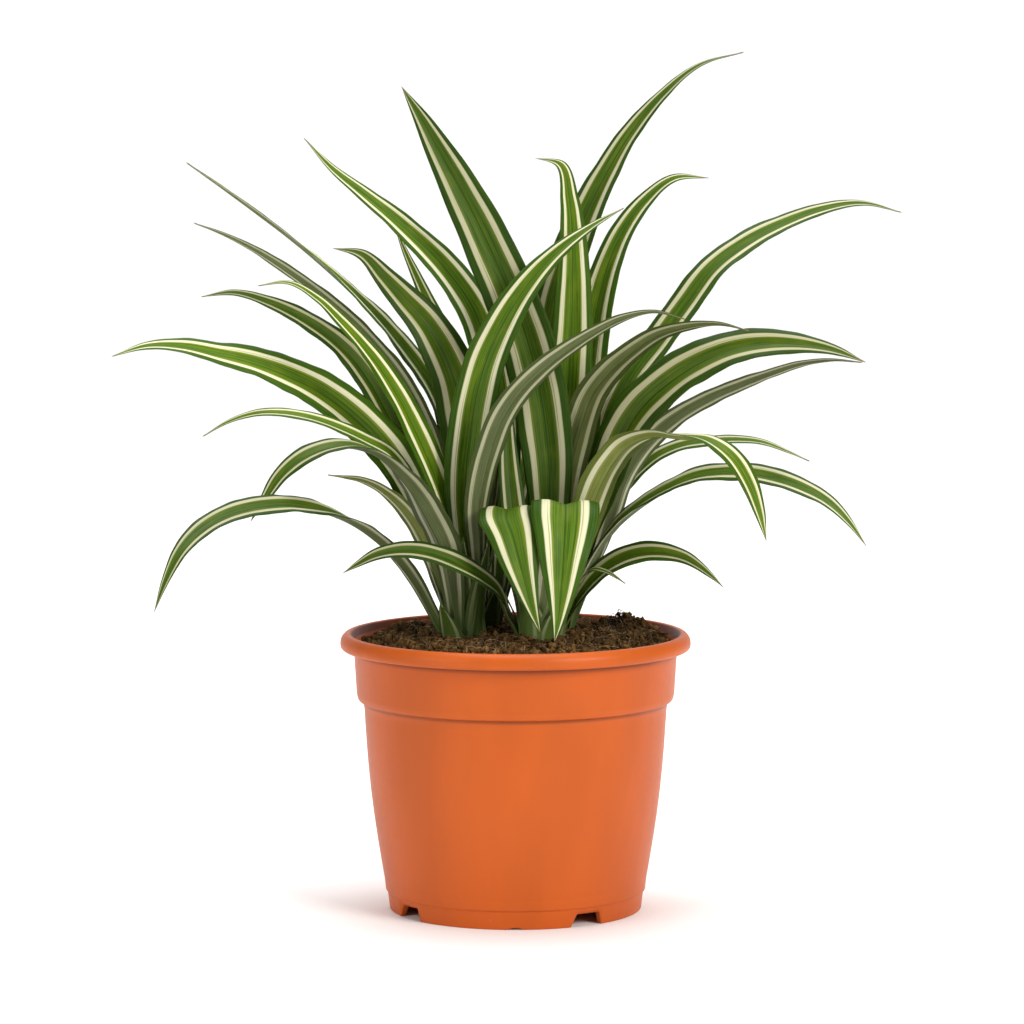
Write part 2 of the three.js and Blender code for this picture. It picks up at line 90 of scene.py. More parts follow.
def mesh_object(name, points, quads, triangles=(), attributes=None, smooth=True):
    """Puts arrays of points, quads and triangles into a new object at the origin.

    attributes maps a name to one three-part value for each point.
    """
    quads = np.asarray(quads, np.int32).reshape(-1, 4)
    triangles = np.asarray(triangles, np.int32).reshape(-1, 3)
    corners = np.concatenate([quads.ravel(), triangles.ravel()])
    starts = np.concatenate([
        np.arange(len(quads)) * 4,
        len(quads) * 4 + np.arange(len(triangles)) * 3,
    ])
    mesh = bpy.data.meshes.new(name)
    mesh.vertices.add(len(points))
    mesh.vertices.foreach_set("co", np.asarray(points, np.float32).ravel())
    mesh.loops.add(len(corners))
    mesh.loops.foreach_set("vertex_index", corners)
    mesh.polygons.add(len(starts))
    mesh.polygons.foreach_set("loop_start", starts.astype(np.int32))
    mesh.polygons.foreach_set("use_smooth", np.full(len(starts), smooth))
    for key, values in (attributes or {}).items():
        layer = mesh.attributes.new(key, "FLOAT_VECTOR", "POINT")
        layer.data.foreach_set("vector", np.asarray(values, np.float32).ravel())
    mesh.update(calc_edges=True)
    piece = bpy.data.objects.new(name, mesh)
    bpy.context.scene.collection.objects.link(piece)
    return piece


def loft(rings, start, end):
    """Joins closed rings of equal counts, and fans the first and last ring in to one point each.

    rings is (rings, points, 3). Seen from the start, each ring runs clockwise, so that the
    faces point outwards. Returns the points, quads and triangles.
    """
    count, around = rings.shape[:2]
    points = np.concatenate([rings.reshape(-1, 3), [start, end]])
    here = np.arange(count * around).reshape(count, around)
    beside = np.roll(here, -1, axis=1)
    quads = np.stack([here[:-1], beside[:-1], beside[1:], here[1:]], axis=-1).reshape(-1, 4)
    first = count * around
    near = np.stack([np.full(around, first), beside[0], here[0]], axis=-1)
    far = np.stack([np.full(around, first + 1), here[-1], beside[-1]], axis=-1)
    return points, quads, np.concatenate([near, far])


def two_faces(u):
    """Takes places u from one margin to the other across the upper face and back under.

    Returns the places all the way round, and the face: 1 above, -1 below and 0 at the margins.
    """
    columns = len(u) - 1
    around = np.concatenate([u, u[-2:0:-1]])
    face = np.concatenate([np.ones(columns + 1), -np.ones(columns - 1)])
    face[[0, columns]] = 0
    return around, face


def repeat(points, quads, triangles, copies):
    """Lays out faces for many copies of one small lofted shape, whose points differ."""
    shift = (np.arange(copies) * points)[:, None, None]
    return (quads[None] + shift).reshape(-1, 4), (triangles[None] + shift).reshape(-1, 3)


def spline(knots, values, at):
    """A smooth curve through values at knots: cubic pieces whose slope at each knot is the
    average of the slopes either side of it, weighted to the shorter one."""
    knots = np.asarray(knots, float)
    values = np.asarray(values, float)
    shape = (-1,) + (1,) * (values.ndim - 1)
    span = np.diff(knots)
    rise = np.diff(values, axis=0) / span.reshape(shape)
    share = (span[:-1] / (span[:-1] + span[1:])).reshape(shape)
    inner = rise[:-1] * (1 - share) + rise[1:] * share
    slope = np.concatenate([rise[:1], inner, rise[-1:]])
    k = np.clip(np.searchsorted(knots, at, side="right") - 1, 0, len(span) - 1)
    width = span[k].reshape(shape)
    t = ((at - knots[k]) / span[k]).reshape(shape)
    return (
        values[k] * (1 + 2 * t) * (1 - t) ** 2
        + slope[k] * width * t * (1 - t) ** 2
        + values[k + 1] * t ** 2 * (3 - 2 * t)
        + slope[k + 1] * width * t ** 2 * (t - 1)
    )


def smooth_step(low, high, x):
    """0 below low, 1 above high, and a smooth rise between them."""
    t = np.clip((x - low) / (high - low), 0, 1)
    return t * t * (3 - 2 * t)


def unit(vectors):
    """Each vector divided by its length."""
    return vectors / np.maximum(np.linalg.norm(vectors, axis=-1, keepdims=True), 1e-12)


def place(piece, slot, material, *nodes):
    """Rides a finished piece on the plant's body and stands it in for its frame nodes."""
    piece.data.materials.append(material)
    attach(piece, BODY)
    if nodes:
        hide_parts(*nodes)
    return piece


# ---- Materials --------------------------------------------------------------------------------

class Value:
    """A socket that takes part in Python arithmetic: each operator adds a Math node."""

    def __init__(self, shader, socket):
        self.shader = shader
        self.socket = socket

    def maths(self, operation, *others):
        node = self.shader.node("ShaderNodeMath", {"operation": operation},
                                dict(enumerate([self, *others])))
        return Value(self.shader, node.outputs[0])

    def __add__(self, other):
        return self.maths("ADD", other)

    def __sub__(self, other):
        return self.maths("SUBTRACT", other)

    def __mul__(self, other):
        return self.maths("MULTIPLY", other)

    def __rsub__(self, other):
        return (self * -1) + other

    def __abs__(self):
        return self.maths("ABSOLUTE")

    __radd__ = __add__
    __rmul__ = __mul__

    def maximum(self, other):
        return self.maths("MAXIMUM", other)


class Shader:
    """A new node material with a Principled surface, and short ways to add nodes to it."""

    def __init__(self, name, **constants):
        self.material = bpy.data.materials.new(name)
        self.material.use_nodes = True
        self.tree = self.material.node_tree
        self.surface = self.tree.nodes["Principled BSDF"]
        for socket, value in constants.items():
            self.surface.inputs[socket.replace("_", " ")].default_value = value

    def node(self, kind, settings=None, inputs=None):
        """Adds a node, sets its settings, then fills its sockets with values or links."""
        node = self.tree.nodes.new(kind)
        for name, value in (settings or {}).items():
            setattr(node, name, value)
        for key, value in (inputs or {}).items():
            socket = node.inputs[key]
            value = getattr(value, "socket", value)
            if isinstance(value, bpy.types.NodeSocket):
                self.tree.links.new(value, socket)
            else:
                socket.default_value = value
        return node

    def feed(self, socket, value):
        self.tree.links.new(getattr(value, "socket", value), self.surface.inputs[socket])

    def attribute(self, name):
        """The three parts of a point attribute, as Values."""
        source = self.node("ShaderNodeAttribute", {"attribute_name": name})
        return self.parts(source.outputs["Vector"])

    def parts(self, vector):
        """The three parts of a vector, as Values."""
        node = self.node("ShaderNodeSeparateXYZ", None, {0: vector})
        return [Value(self, out) for out in node.outputs]

    def objects(self):
        """Object coordinates, as a vector socket."""
        return self.node("ShaderNodeTexCoord").outputs["Object"]

    def vector(self, x, y, z):
        return self.node("ShaderNodeCombineXYZ", None, {0: x, 1: y, 2: z}).outputs[0]

    def noise(self, vector, scale, detail=3.0, roughness=0.5):
        node = self.node("ShaderNodeTexNoise", {"noise_dimensions": "3D"}, {
            "Vector": vector, "Scale": scale, "Detail": detail, "Roughness": roughness})
        return Value(self, node.outputs[0])

    def step(self, value, low, high):
        """0 below low, 1 above high, and a smooth rise between; it falls if low is above high."""
        start, end = (0.0, 1.0) if low < high else (1.0, 0.0)
        node = self.node("ShaderNodeMapRange", {"interpolation_type": "SMOOTHSTEP"}, {
            "Value": value, "From Min": min(low, high), "From Max": max(low, high),
            "To Min": start, "To Max": end})
        return Value(self, node.outputs[0])

    def band(self, value, low, full, fading, high):
        """0 below low and above high, 1 between full and fading, and smooth between those."""
        return self.step(value, low, full) * self.step(value, high, fading)

    def blend(self, factor, a, b, kind="MIX"):
        """Colour a where the factor is 0 and b, or a blended with b, where it is 1."""
        node = self.node("ShaderNodeMix", {"data_type": "RGBA", "blend_type": kind},
                         {0: factor, 6: a, 7: b})
        return node.outputs[2]

    def bump(self, height, distance, strength=1.0):
        node = self.node("ShaderNodeBump", None, {
            "Height": height, "Distance": distance, "Strength": strength})
        self.feed("Normal", node.outputs["Normal"])


def colour(prop):
    """A property's colour with full alpha."""
    return (*prop, 1.0)


def colour_property(name, description, default):
    return bpy.props.FloatVectorProperty(
        name=name, description=description, default=default, subtype="COLOR", size=3, min=0, max=1)


# ---- Settings ---------------------------------------------------------------------------------

class LeafSettings(bpy.types.PropertyGroup):
    """Sizes and colours of the blades."""

    thickness: bpy.props.FloatProperty(
        name="Thickness", description="Thickness of a blade between its midrib and its margins",
        default=0.55 * MM, unit="LENGTH")
    wave: bpy.props.FloatProperty(
        name="Margin wave", description="How far the margins wave, as a share of the half width",
        default=0.032)
    green: colour_property("Green", "The middle band of a blade", (0.103, 0.192, 0.009))
    dark_green: colour_property("Margin green", "The two margins of a blade", (0.017, 0.060, 0.001))
    cream: colour_property("Cream", "The two stripes", (0.75, 0.72, 0.49))
    hairline: colour_property("Hairline", "The thin lines inside the stripes", (0.19, 0.25, 0.016))
    underside: colour_property("Underside", "The underside's green", (0.168, 0.205, 0.085))
    pale_stripe: colour_property("Underside stripe", "The underside's stripes", (0.60, 0.60, 0.40))
    base: colour_property("Base", "The plain foot of a blade", (0.085, 0.135, 0.030))
    tip: colour_property("Tip", "The dry end of a blade", (0.20, 0.15, 0.06))


class PotSettings(bpy.types.PropertyGroup):
    """Sizes and colours of the pot."""

    wall: bpy.props.FloatProperty(
        name="Wall", description="Thickness of the moulded wall", default=1.5 * MM, unit="LENGTH")
    rim_depth: bpy.props.FloatProperty(
        name="Rim depth", description="Height of the rolled rim", default=5.8 * MM, unit="LENGTH")
    plastic: colour_property("Plastic", "The moulded plastic", (0.54, 0.093, 0.004))


class SoilSettings(bpy.types.PropertyGroup):
    """Sizes, amounts and colours of the soil."""

    crumbs: bpy.props.IntProperty(
        name="Crumbs", description="Loose crumbs lying on the soil", default=5400, min=0)
    fibres: bpy.props.IntProperty(
        name="Fibres", description="Fine root and bark fibres on the soil", default=520, min=0)
    relief: bpy.props.FloatProperty(
        name="Relief", description="Height of the largest bumps", default=1.9 * MM, unit="LENGTH")
    dark: colour_property("Dark peat", "The darkest soil", (0.004, 0.002, 0.0006))
    brown: colour_property("Brown peat", "The lighter, redder soil", (0.205, 0.108, 0.036))
    fibre: colour_property("Fibre", "The fibres", (0.34, 0.22, 0.10))


# ---- Leaves -----------------------------------------------------------------------------------

def steps_from(start, joined):
    """How many edges each point is from the starting point."""
    steps = np.where(np.arange(len(joined)) == start, 0, -1)
    ring = 0
    while (steps < 0).any():
        reached = joined[steps == ring].any(0) & (steps < 0)
        if not reached.any():
            raise RuntimeError("A leaf of the frame isn't one strip")
        ring += 1
        steps[reached] = ring
    return steps


def leaf_stations(node):
    """The cross-sections that a frame leaf is lofted through, from its base to its tip.

    The leaf is rings of four points that close on one tip point, and the tip is the only point
    from which steps along the edges reach four new points each time. In each ring the two
    points furthest apart are the margins, and of the other two the one nearer to them is the
    upper face's midrib. Returns the middle of the midrib, half the vector from margin to
    margin, the upward direction and the fold depth of each ring, and the tip.
    """
    mesh = node.data
    loose = np.empty(len(mesh.vertices) * 3, np.float32)
    mesh.vertices.foreach_get("co", loose)
    corners = np.empty(len(mesh.loops), np.int32)
    mesh.loops.foreach_get("vertex_index", corners)
    points, merged = np.unique(np.round(loose.reshape(-1, 3), 6), axis=0, return_inverse=True)
    triangles = merged.ravel()[corners].reshape(-1, 3)
    joined = np.zeros((len(points), len(points)), bool)
    for a, b in ((0, 1), (1, 2), (2, 0)):
        joined[triangles[:, a], triangles[:, b]] = True
        joined[triangles[:, b], triangles[:, a]] = True
    for tip in np.flatnonzero(joined.sum(1) == 4):
        steps = steps_from(tip, joined)
        if (np.bincount(steps)[1:] == 4).all():
            break
    else:
        raise RuntimeError(f"{node.name} has no tip")
    rings = points[np.argsort(steps, kind="stable")[1:].reshape(-1, 4)][::-1].astype(float)

    # Bring each ring to the order margin, margin, upper midrib, lower midrib.
    apart = np.linalg.norm(rings[:, :, None] - rings[:, None], axis=-1)
    pair = np.argmax(apart.reshape(-1, 16), axis=1)
    margins = np.stack([pair // 4, pair % 4], axis=1)
    rest = np.array([[k for k in range(4) if k not in row] for row in margins])
    rows = np.arange(len(rings))[:, None]
    edge = rings[rows, margins]
    rib = rings[rows, rest]
    middle = edge.mean(1)
    away = np.linalg.norm(rib - middle[:, None], axis=-1)
    swap = (away[:, 0] > away[:, 1])[:, None]
    upper = np.where(swap, rib[:, 1], rib[:, 0])
    lower = np.where(swap, rib[:, 0], rib[:, 1])
    spine = (upper + lower) / 2
    rise = unit(upper - lower)
    half = (edge[:, 0] - edge[:, 1]) / 2
    forward = np.gradient(np.concatenate([spine, points[tip][None]]), axis=0)[:-1]
    turned = np.einsum("ij,ij->i", np.cross(forward, half), rise) < 0
    half = np.where(turned[:, None], -half, half)
    fold = np.einsum("ij,ij->i", middle - spine, rise)
    return spine, half, rise, fold, points[tip].astype(float)


def leaf_attributes(across, along, share, under, end, end_under, tone):
    """What the striped material reads at each point of a lofted blade or scale.

    "blade" holds the place across, the millimetres along and the share of the length.
    "leaf_kind" holds 1 on the paler face and 0 on the greener one, and then how dark and how
    yellow the whole leaf is; on a blade that stood in shadow the darkness is painted shade.
    end gives the length and the share at the tip, and end_under the face's value at the two
    closing points.
    """
    grid = np.stack(np.broadcast_arrays(across, along / MM, share, under), axis=-1)
    rows = np.concatenate([
        grid.reshape(-1, 4), [[0, 0, 0, end_under], [0, end[0] / MM, end[1], end_under]]])
    tones = np.tile(tone, (len(rows), 1))
    return {"blade": rows[:, :3], "leaf_kind": np.column_stack([rows[:, 3], tones])}


# The blades drawn darkest; on left_back_leaf_4, which stood in shadow, this darkening is painted
# shade.
DARKEST_LEAVES = ("left_back_leaf_4", "right_back_leaf_3", "right_front_leaf_1", "left_back_leaf_1")
YOUNG_LEAVES = ("left_front_leaf_6", "left_back_leaf_5")
LEAF_ROWS = 120
LEAF_COLUMNS = 24  # across the upper face
TIP_CROWDING = 1.15  # above 1, the rows lie closer together towards the tip
MARGIN_CROWDING = 0.9  # below 1, the columns lie closer together towards the margins
WAVE_LENGTHS = (31 * MM, 17 * MM, 9 * MM)
FOLD_ROUNDING = 0.004  # how softly the two halves meet at the midrib, as a share squared
BOW = 0.10  # how far each half arches, as a share of the half width
RIBS = 9  # fine lengthwise ribs on each half
RIB_HEIGHT = 0.035 * MM
MIDRIB_SWELL = 0.9  # extra thickness at the midrib, as a share of the thickness
MIDRIB_WIDTH = 0.10  # as a share of the half width
THINNING = 0.55  # how much thinner the tip is than the base
SWAY = 0.35  # how far the margins sway sideways, as a share of the wave
SWAY_LENGTH = 23 * MM


def leaf_surface(node, settings, seed):
    """A closed blade. Across each row, u runs from -1 to 1 over the upper face and back under.

    Point(u, v) = midrib(v) + u * half(v) + a slow sideways sway of the margins + rise(v) *
    (fold(v) * |u| rounded at the midrib + an arch on each half + a wave that grows towards
    each margin + fine ribs either side of the midrib) plus or minus half the thickness, which
    fades to nothing at the margins.
    """
    spine, half, rise, fold, tip = leaf_stations(node)
    random = np.random.default_rng(seed)
    path = np.concatenate([spine, tip[None]])
    knots = np.concatenate([[0], np.cumsum(np.linalg.norm(np.diff(path, axis=0), axis=1))])
    length = knots[-1]
    share = np.linspace(0, 1, LEAF_ROWS + 1)[:-1]
    share = 1 - (1 - share) ** TIP_CROWDING
    at = share * length
    middle = spline(knots, path, at)
    width = spline(knots, np.concatenate([half, half[-1:] * 0]), at)
    lift = unit(spline(knots, np.concatenate([rise, rise[-1:]]), at))
    depth = spline(knots, np.concatenate([fold, [0]]), at)
    across = unit(width)
    reach = np.linalg.norm(width, axis=1)
    lift = unit(lift - across * np.einsum("ij,ij->i", lift, across)[:, None])

    u = np.linspace(-1, 1, LEAF_COLUMNS + 1)
    over, face = two_faces(np.sign(u) * np.abs(u) ** MARGIN_CROWDING)
    u = over[None]
    v = at[:, None]
    side = np.where(u < 0, 0, 1)
    waves = np.zeros((len(at), len(over)))
    for size in WAVE_LENGTHS:
        phases = random.uniform(0, 2 * math.pi, 2)[side]
        waves += (size / WAVE_LENGTHS[0]) ** 0.8 * np.sin(2 * math.pi * v / size + phases)
    rounded = np.sqrt(u ** 2 + FOLD_ROUNDING) - math.sqrt(FOLD_ROUNDING)
    bow = BOW * np.sin(math.pi * np.abs(u)) * reach[:, None]
    ribs = RIB_HEIGHT * np.cos(2 * math.pi * RIBS * np.abs(u)) * (1 - np.abs(u)) * face
    wave = settings.wave * reach[:, None] * waves * np.abs(u) ** 3
    wave *= smooth_step(0, 0.25, share)[:, None]
    edge_fade = np.sqrt(np.clip(1 - u ** 4, 0, 1))
    swell = 1 + MIDRIB_SWELL * np.exp(-(u / MIDRIB_WIDTH) ** 2)
    thick = settings.thickness * swell * edge_fade * (1 - THINNING * share[:, None])
    height = depth[:, None] * rounded + bow + wave + ribs + face * thick / 2
    sway = np.sin(2 * math.pi * v / SWAY_LENGTH + random.uniform(0, 6)) * np.abs(u)
    sway = sway * settings.wave * SWAY * reach[:, None] * smooth_step(0.05, 0.3, share)[:, None]
    points = (
        middle[:, None]
        + across[:, None] * (u * reach[:, None] + sway)[..., None]
        + lift[:, None] * height[..., None]
    )
    rings = points[:, ::-1]
    over, face = over[::-1], face[::-1]
    tone = random.uniform(0, 1, 2)
    # the darkest blades take the full darkening, which is painted shade on left_back_leaf_4, a
    # blade in shadow
    if node.name in DARKEST_LEAVES:
        tone[0] = 1.0
    if node.name in YOUNG_LEAVES:
        tone[:] = 0.0, 1.0
    attributes = leaf_attributes(
        over, v, share[:, None], (1 - face) / 2, (length, 1), 0.5, tone)
    return (*loft(rings, middle[0], tip), attributes)


UNDERSIDE_STREAK = (0.060, 0.088, 0.020, 1)
UNDERSIDE_LINE = (0.24, 0.26, 0.12, 1)
TONE_AND_PAINTED_SHADE = (0.55, 0.55, 0.50, 1)  # multiplies the colours of a dark blade: its darker tone, and painted shade on a blade in shadow
YOUNG_SHADE = (1.25, 1.15, 0.35, 1)  # multiplies the greens of a young one


def leaf_material(settings):
    """Green blade with two cream stripes, hairlines beside them, streaks, and painted shade as a
    dark line along the midrib crease.
    """
    shader = Shader("striped_leaf", Specular_IOR_Level=0.14)
    u, along, share = shader.attribute("blade")
    under, tone, warmth = shader.attribute("leaf_kind")
    across = abs(u)
    drift = shader.noise(shader.vector(u * 1.5, along * 0.02, tone * 40), 1.0, 2.0) - 0.5
    edge = across + drift * 0.10 + (warmth - 0.5) * 0.07
    streaks = shader.noise(shader.vector(u * 26, along * 0.035, tone * 90), 1.0, 3.0)
    fine = shader.noise(shader.vector(u * 80, along * 0.05, tone * 30), 1.0, 2.0)
    mottle = shader.noise(shader.vector(u * 2, along * 0.09, warmth * 70), 1.0, 3.0)

    # Across each half: the cream stripe, the line along its inner side, a thread within it,
    # the dark margin, and the thin paler rim.
    stripe = shader.band(edge, 0.43, 0.48, 0.66, 0.72)
    inner = shader.band(edge, 0.37, 0.40, 0.41, 0.45)
    thread = shader.band(edge, 0.50, 0.515, 0.53, 0.545) * shader.step(drift, -0.05, 0.1)
    margin = shader.step(edge, 0.66, 0.74)
    rim = shader.step(across, 0.965, 0.995)

    def banded(green, dark, cream, line, contrast):
        """The stripes of one face, with the middle band streaked by the contrast given."""
        middle = shader.blend(shader.step(streaks, 0.34, 0.68) * contrast, green, dark)
        middle = shader.blend(shader.step(mottle, 0.45, 0.75) * 0.35, middle, line)
        # painted shade: a dark line along the midrib crease, where the two halves meet
        fold = shader.step(across, 0.05, 0.0) * 0.8
        middle = shader.blend(fold, middle, dark)
        outside = shader.blend(shader.step(fine, 0.35, 0.7) * 0.5, dark, green)
        colours = shader.blend(margin, middle, outside)
        colours = shader.blend(inner * 0.8, colours, line)
        pale = shader.blend(shader.step(fine, 0.5, 0.8) * 0.35, cream, line)
        colours = shader.blend(stripe, colours, pale)
        colours = shader.blend(thread * 0.75, colours, line)
        return shader.blend(rim * 0.45, colours, line)

    top = banded(colour(settings.green), colour(settings.dark_green),
                 colour(settings.cream), colour(settings.hairline), 0.75)
    below = banded(colour(settings.underside), UNDERSIDE_STREAK,
                   colour(settings.pale_stripe), UNDERSIDE_LINE, 0.6)
    base = shader.blend(shader.step(under, 0.35, 0.65), top, below)
    # darkens each blade by its tone; on a blade that stood in shadow this is painted shade
    base = shader.blend(tone, base, TONE_AND_PAINTED_SHADE, "MULTIPLY")
    fresh = shader.step(warmth, 0.45, 1.0) * (1 - stripe) * 0.6
    base = shader.blend(fresh, base, YOUNG_SHADE, "MULTIPLY")
    foot = shader.step(share, 0.17, 0.02)
    base = shader.blend(foot * 0.8, base, colour(settings.base))
    dry = shader.step(share, 0.972, 0.995)
    base = shader.blend(dry * 0.8, base, colour(settings.tip))
    shader.feed("Base Color", base)
    shader.feed("Roughness", 0.36 + fine * 0.22 + under * 0.10)
    shader.bump(streaks * 0.6 + fine * 0.4, 0.10 * MM, 0.6)
    return shader.material


class PLANT_OT_leaves(bpy.types.Operator):
    """Lofts a fine striped blade over every leaf of the frame"""

    bl_idname = "plant.leaves"
    bl_label = "Leaves"

    def execute(self, context):
        settings = context.scene.dracaena_leaf
        material = leaf_material(settings)
        for seed, name in enumerate(LEAVES):
            shape = leaf_surface(frame["nodes"][name], settings, seed)
            piece = mesh_object(name.replace("leaf", "blade"), *shape)
            place(piece, "leaf", material, name)
        return {"FINISHED"}


# ---- Pot --------------------------------------------------------------------------------------

FOOT_RADIUS = 46.9  # millimetres, as the floor's heights and the profile are
NOTCH_ANGLES = np.radians([-56, 34, 124, 214])
NOTCH_HALF = math.atan2(6.0, FOOT_RADIUS)  # half the angle that a notch takes up
NOTCH_HEIGHT = 4.9 * MM
NICK_HALF = 2.6 / FOOT_RADIUS  # the same for the nick at the front
NICK_HEIGHT = 0.6 * MM
FLOOR_BOTTOM = 5.2
FLOOR_TOP = 6.8


def rounded(corners, steps=4):
    """A profile with each corner of [radius, height, rounding] replaced by a smooth arc.

    The arc is the quadratic curve that leaves each side at the rounding's distance from the
    corner, or nearer on a short side, and is pulled towards it.
    """
    corners = np.asarray(corners, float)
    spots, size = corners[:, :2], corners[:, 2]
    profile = [spots[:1]]
    t = np.linspace(0, 1, steps + 1)[:, None]
    for before, here, after, r in zip(spots[:-2], spots[1:-1], spots[2:], size[1:-1]):
        back = here + unit(before - here) * min(r, np.linalg.norm(before - here) * 0.45)
        front = here + unit(after - here) * min(r, np.linalg.norm(after - here) * 0.45)
        profile.append((1 - t) ** 2 * back + 2 * t * (1 - t) * here + t ** 2 * front)
    profile.append(spots[-1:])
    return np.concatenate(profile)


def pot_profile(settings):
    """Radius and height of the pot's section, in metres, from under the floor, up the outside,
    over the rim and down the inside to the middle of the floor."""
    top = POT_HEIGHT / MM
    rim = RIM_RADIUS / MM
    wall = settings.wall / MM
    lip = top - settings.rim_depth / MM
    belly = [[48.2 + 8.0 * s + 1.3 * math.sin(math.pi * s), 8.2 + 68.6 * s, 0.5]
             for s in np.linspace(0.04, 0.97, 14)]
    inside = [[r - wall, z, 0.5] for r, z, _ in reversed(belly)]
    return rounded([
        [0.5, FLOOR_BOTTOM, 0],
        [43.6, FLOOR_BOTTOM, 0.8],
        [44.8, 0, 0.5],
        [46.8, 0, 0.5],
        [47.6, 6.7, 0.3],
        [48.3, 7.2, 0.4],
        *belly,
        [56.6, 77.6, 0.6],
        [58.3, 78.2, 0.7],
        [58.9, 80.2, 0.8],
        [59.9, lip - 0.4, 0.5],
        [64.0, lip - 0.1, 0.3],
        [64.8, lip + 0.6, 0.5],
        [rim, lip + 1.9, 0.9],
        [64.7, top - 1.9, 1.1],
        [63.3, top - 0.3, 1.0],
        [62.0, top, 0.6],
        [61.0, top - 0.3, 0.5],
        [60.2 - wall, lip + 1.0, 1.2],
        [58.9 - wall, 80.0, 0.8],
        [56.3 - wall, 77.5, 0.8],
        *inside,
        [47.0 - wall, 6.9, 1.2],
        [0.5, FLOOR_TOP, 0],
    ]) * MM


def pot_surface(settings):
    """The section turned about Z. In each drain notch the foot's lower points are pressed up
    nearly to the notch's height, over a width that narrows slightly upwards, and the front has
    a shallow nick."""
    profile = pot_profile(settings)
    angles = np.linspace(-math.pi, math.pi, 240, endpoint=False)
    flank = np.array([-1.02, -1.0, -0.98, -0.93, -0.91, 0.91, 0.93, 0.98, 1.0, 1.02])
    extra = (NOTCH_ANGLES[:, None] + NOTCH_HALF * flank).ravel()
    angles = np.unique(np.round(np.concatenate([angles, extra]), 5))
    angles = -np.sort((angles + math.pi) % (2 * math.pi) - math.pi)
    radius, height = profile[:, :1], np.repeat(profile[:, 1:], len(angles), axis=1)
    swing = np.abs((angles[:, None] - NOTCH_ANGLES + math.pi) % (2 * math.pi) - math.pi).min(1)
    notch = 1 - smooth_step(0.92, 1.0, swing / NOTCH_HALF)
    front = np.abs((angles + math.pi / 2 + math.pi) % (2 * math.pi) - math.pi)
    nick = 1 - smooth_step(0.85, 1.0, front / NICK_HALF)
    outer = radius > 43 * MM
    rising = np.clip(NOTCH_HEIGHT - height, 0, None) * 0.97
    height = height + np.where(outer, notch * rising, 0)
    height = height + np.where(outer & (height < 2 * MM), nick * NICK_HEIGHT, 0)
    rings = np.stack([radius * np.cos(angles), radius * np.sin(angles), height], axis=-1)
    return loft(rings, (0, 0, FLOOR_BOTTOM * MM), (0, 0, FLOOR_TOP * MM))


def plastic_material(settings):
    """Satin moulded plastic: faint flow mottling, fine grain, chalk near the foot, painted shade
    on the upper inside wall, and painted shade in the creases under the rim and the collar."""
    shader = Shader("satin_plastic", Specular_IOR_Level=0.30)
    position = shader.objects()
    x, y, z = shader.parts(position)
    flow = shader.noise(shader.vector(x, y, z * 0.35), 38, 3.0)
    grain = shader.noise(position, 2600, 2.0)
    dust = shader.noise(position, 420, 4.0, 0.65)
    plastic = colour(settings.plastic)
    deep = (*[part * 0.82 for part in settings.plastic], 1)
    base = shader.blend(shader.step(flow, 0.35, 0.7) * 0.6, plastic, deep)
    chalk = shader.step(dust, 0.62, 0.8) * shader.step(z, 20 * MM, 0.0)
    base = shader.blend(chalk * 0.22, base, (0.75, 0.40, 0.25, 1))
    damp = shader.step(z, POT_HEIGHT - 5 * MM, POT_HEIGHT - 9 * MM) * shader.step(dust, 0.4, 0.7)
    radius = (x * x + y * y).maths("SQRT")
    # painted shade: the upper inside wall drawn darker than the same plastic outside
    inside = shader.step(radius, 59.2 * MM, 58.9 * MM) * shader.step(z, 84 * MM, 90 * MM)
    base = shader.blend(inside * (0.35 + damp * 0.3), base, (0.16, 0.035, 0.012, 1))
    lip = POT_HEIGHT - settings.rim_depth
    # painted shade: dark bands in the crease under the rim and, fainter, under the collar's step
    under_rim = shader.band(radius, 59.4 * MM, 59.9 * MM, 60.8 * MM, 61.8 * MM)
    under_rim = under_rim * shader.step(z, lip - 2.6 * MM, lip - 0.2 * MM)
    under_collar = shader.band(z, 76.2 * MM, 77.2 * MM, 77.9 * MM, 78.3 * MM)
    under_collar = under_collar * shader.step(radius, 56.0 * MM, 56.3 * MM)
    painted_crease_shade = under_rim.maximum(under_collar * 0.6)
    base = shader.blend(painted_crease_shade * 0.85, base, (0.10, 0.016, 0.003, 1))
    shader.feed("Base Color", base)
    shader.feed("Roughness", 0.34 + dust * 0.16 + flow * 0.06)
    shader.bump(grain * 0.6 + flow * 0.8, 0.05 * MM, 0.5)
    return shader.material


class PLANT_OT_pot(bpy.types.Operator):
    """Turns the pot's shell and presses its drain notches"""

    bl_idname = "plant.pot"
    bl_label = "Pot"

    def execute(self, context):
        settings = context.scene.dracaena_pot
        points, quads, triangles = pot_surface(settings)
        piece = mesh_object("pot_shell", points, quads, triangles)
        place(piece, "pot", plastic_material(settings), "pot")
        return {"FINISHED"}


# ---- Soil -------------------------------------------------------------------------------------

SOIL_RADIUS = 58.5 * MM
ROOT_BALL_BOTTOM = 7.3  # millimetres


def heap(x, y, centre_x, centre_y, spread):
    """A bell of height 1: e to the power minus half the squared distance over the squared
    spread. The centre and the spread are in millimetres."""
    away = (x - centre_x * MM) ** 2 + (y - centre_y * MM) ** 2
    return np.exp(-away / (2 * (spread * MM) ** 2))


def soil_level(x, y):
    """Height of the soil's smooth mound: highest in the middle and lower towards the wall and
    the left, with a heaped clod at each side of the back, the larger one at the right."""
    edge = POT_HEIGHT - 3.6 * MM
    share = np.hypot(x, y) / SOIL_RADIUS
    mound = 2.4 * MM * (1 - share ** 3)
    clods = 5.2 * MM * heap(x, y, 41, 22, 6) + 2.6 * MM * heap(x, y, -39, 22, 4)
    hollow = 1.3 * MM * smooth_step(0.4, 1.0, -x / SOIL_RADIUS)
    return edge + mound + clods - hollow


